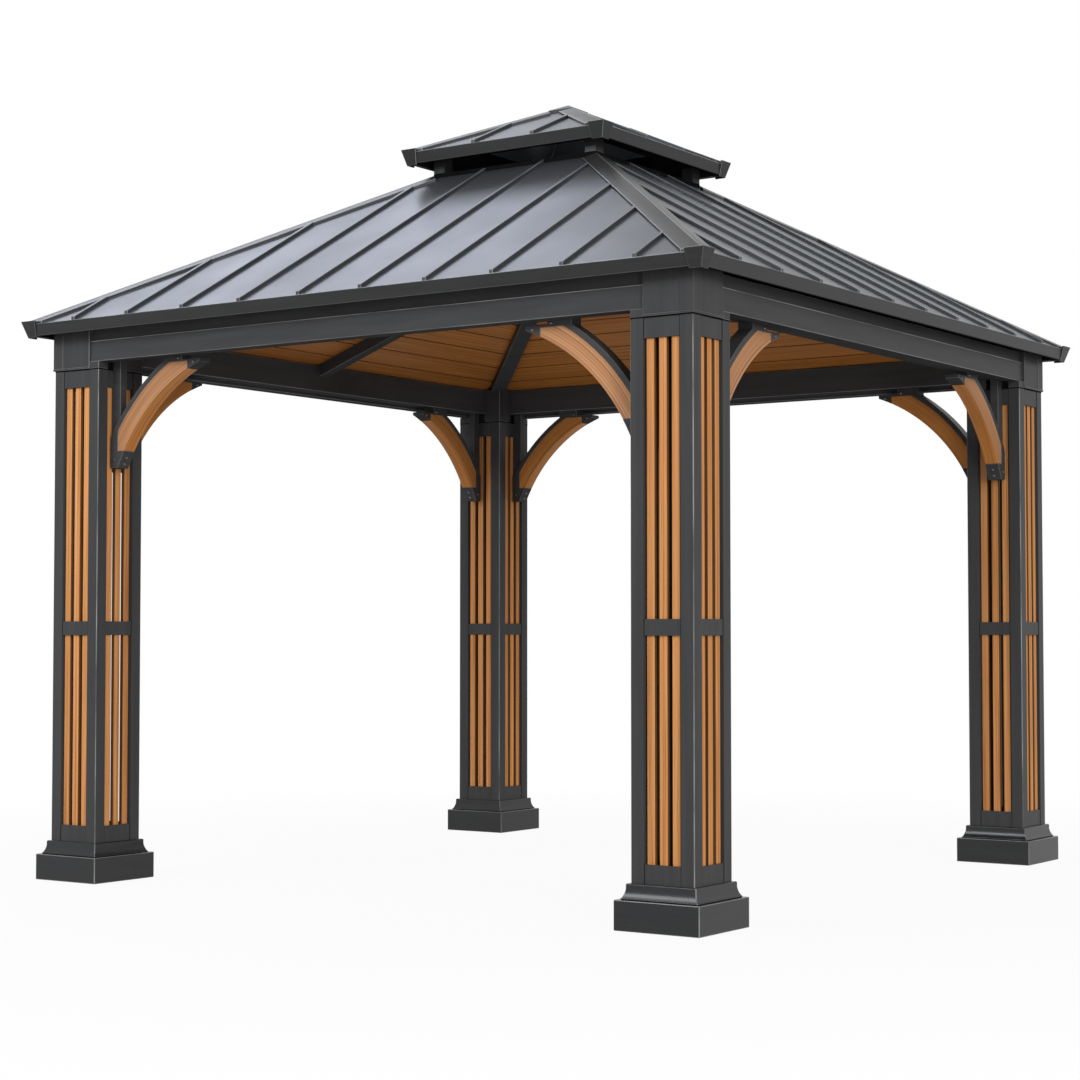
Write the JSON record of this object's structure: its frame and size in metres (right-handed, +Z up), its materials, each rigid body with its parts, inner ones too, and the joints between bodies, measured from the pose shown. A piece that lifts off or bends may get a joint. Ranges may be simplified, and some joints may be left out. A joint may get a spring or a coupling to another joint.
{
  "type": "metal gazebo",
  "caption": "Square open metal gazebo: slatted corner posts on plinths, arched braces, boarded ceiling and a standing-seam hip roof with a vented cupola.",
  "frame": {"origin": "ground level on the centre line, between the four posts", "axes": "+Z up, +X to the right side, -Y to the front side"},
  "size_m": [3.3776, 3.3776, 3.4116],
  "materials": {
    "charcoal_metal": "satin charcoal powder coat",
    "roof_metal": "satin charcoal roofing sheet",
    "wood_grain": "oiled cedar tone with a fine grain"
  },
  "bodies": {
    "root": {"front_right_plinth": "charcoal_metal", "front_right_post": "charcoal_metal", "front_right_post_slats": "wood_grain", "front_right_corner_block": "charcoal_metal", "back_right_plinth": "charcoal_metal", "back_right_post": "charcoal_metal", "back_right_post_slats": "wood_grain", "back_right_corner_block": "charcoal_metal", "back_left_plinth": "charcoal_metal", "back_left_post": "charcoal_metal", "back_left_post_slats": "wood_grain", "back_left_corner_block": "charcoal_metal", "front_left_plinth": "charcoal_metal", "front_left_post": "charcoal_metal", "front_left_post_slats": "wood_grain", "front_left_corner_block": "charcoal_metal", "front_beam": "charcoal_metal", "front_braces": "wood_grain", "front_ceiling": "wood_grain", "front_roof": "roof_metal", "right_beam": "charcoal_metal", "right_braces": "wood_grain", "right_ceiling": "wood_grain", "right_roof": "roof_metal", "back_beam": "charcoal_metal", "back_braces": "wood_grain", "back_ceiling": "wood_grain", "back_roof": "roof_metal", "left_beam": "charcoal_metal", "left_braces": "wood_grain", "left_ceiling": "wood_grain", "left_roof": "roof_metal", "brace_irons": "charcoal_metal", "rafters": "charcoal_metal", "hip_caps": "roof_metal", "eave_fascia": "charcoal_metal", "eave_corner_caps": "charcoal_metal", "cupola_well": "charcoal_metal", "cupola_posts": "charcoal_metal", "cupola_plate": "charcoal_metal", "cupola_roof": "roof_metal", "cupola_hip_caps": "roof_metal", "cupola_fascia": "charcoal_metal", "cupola_corner_caps": "charcoal_metal", "apex_cap": "roof_metal"}
  },
  "joints": []
}
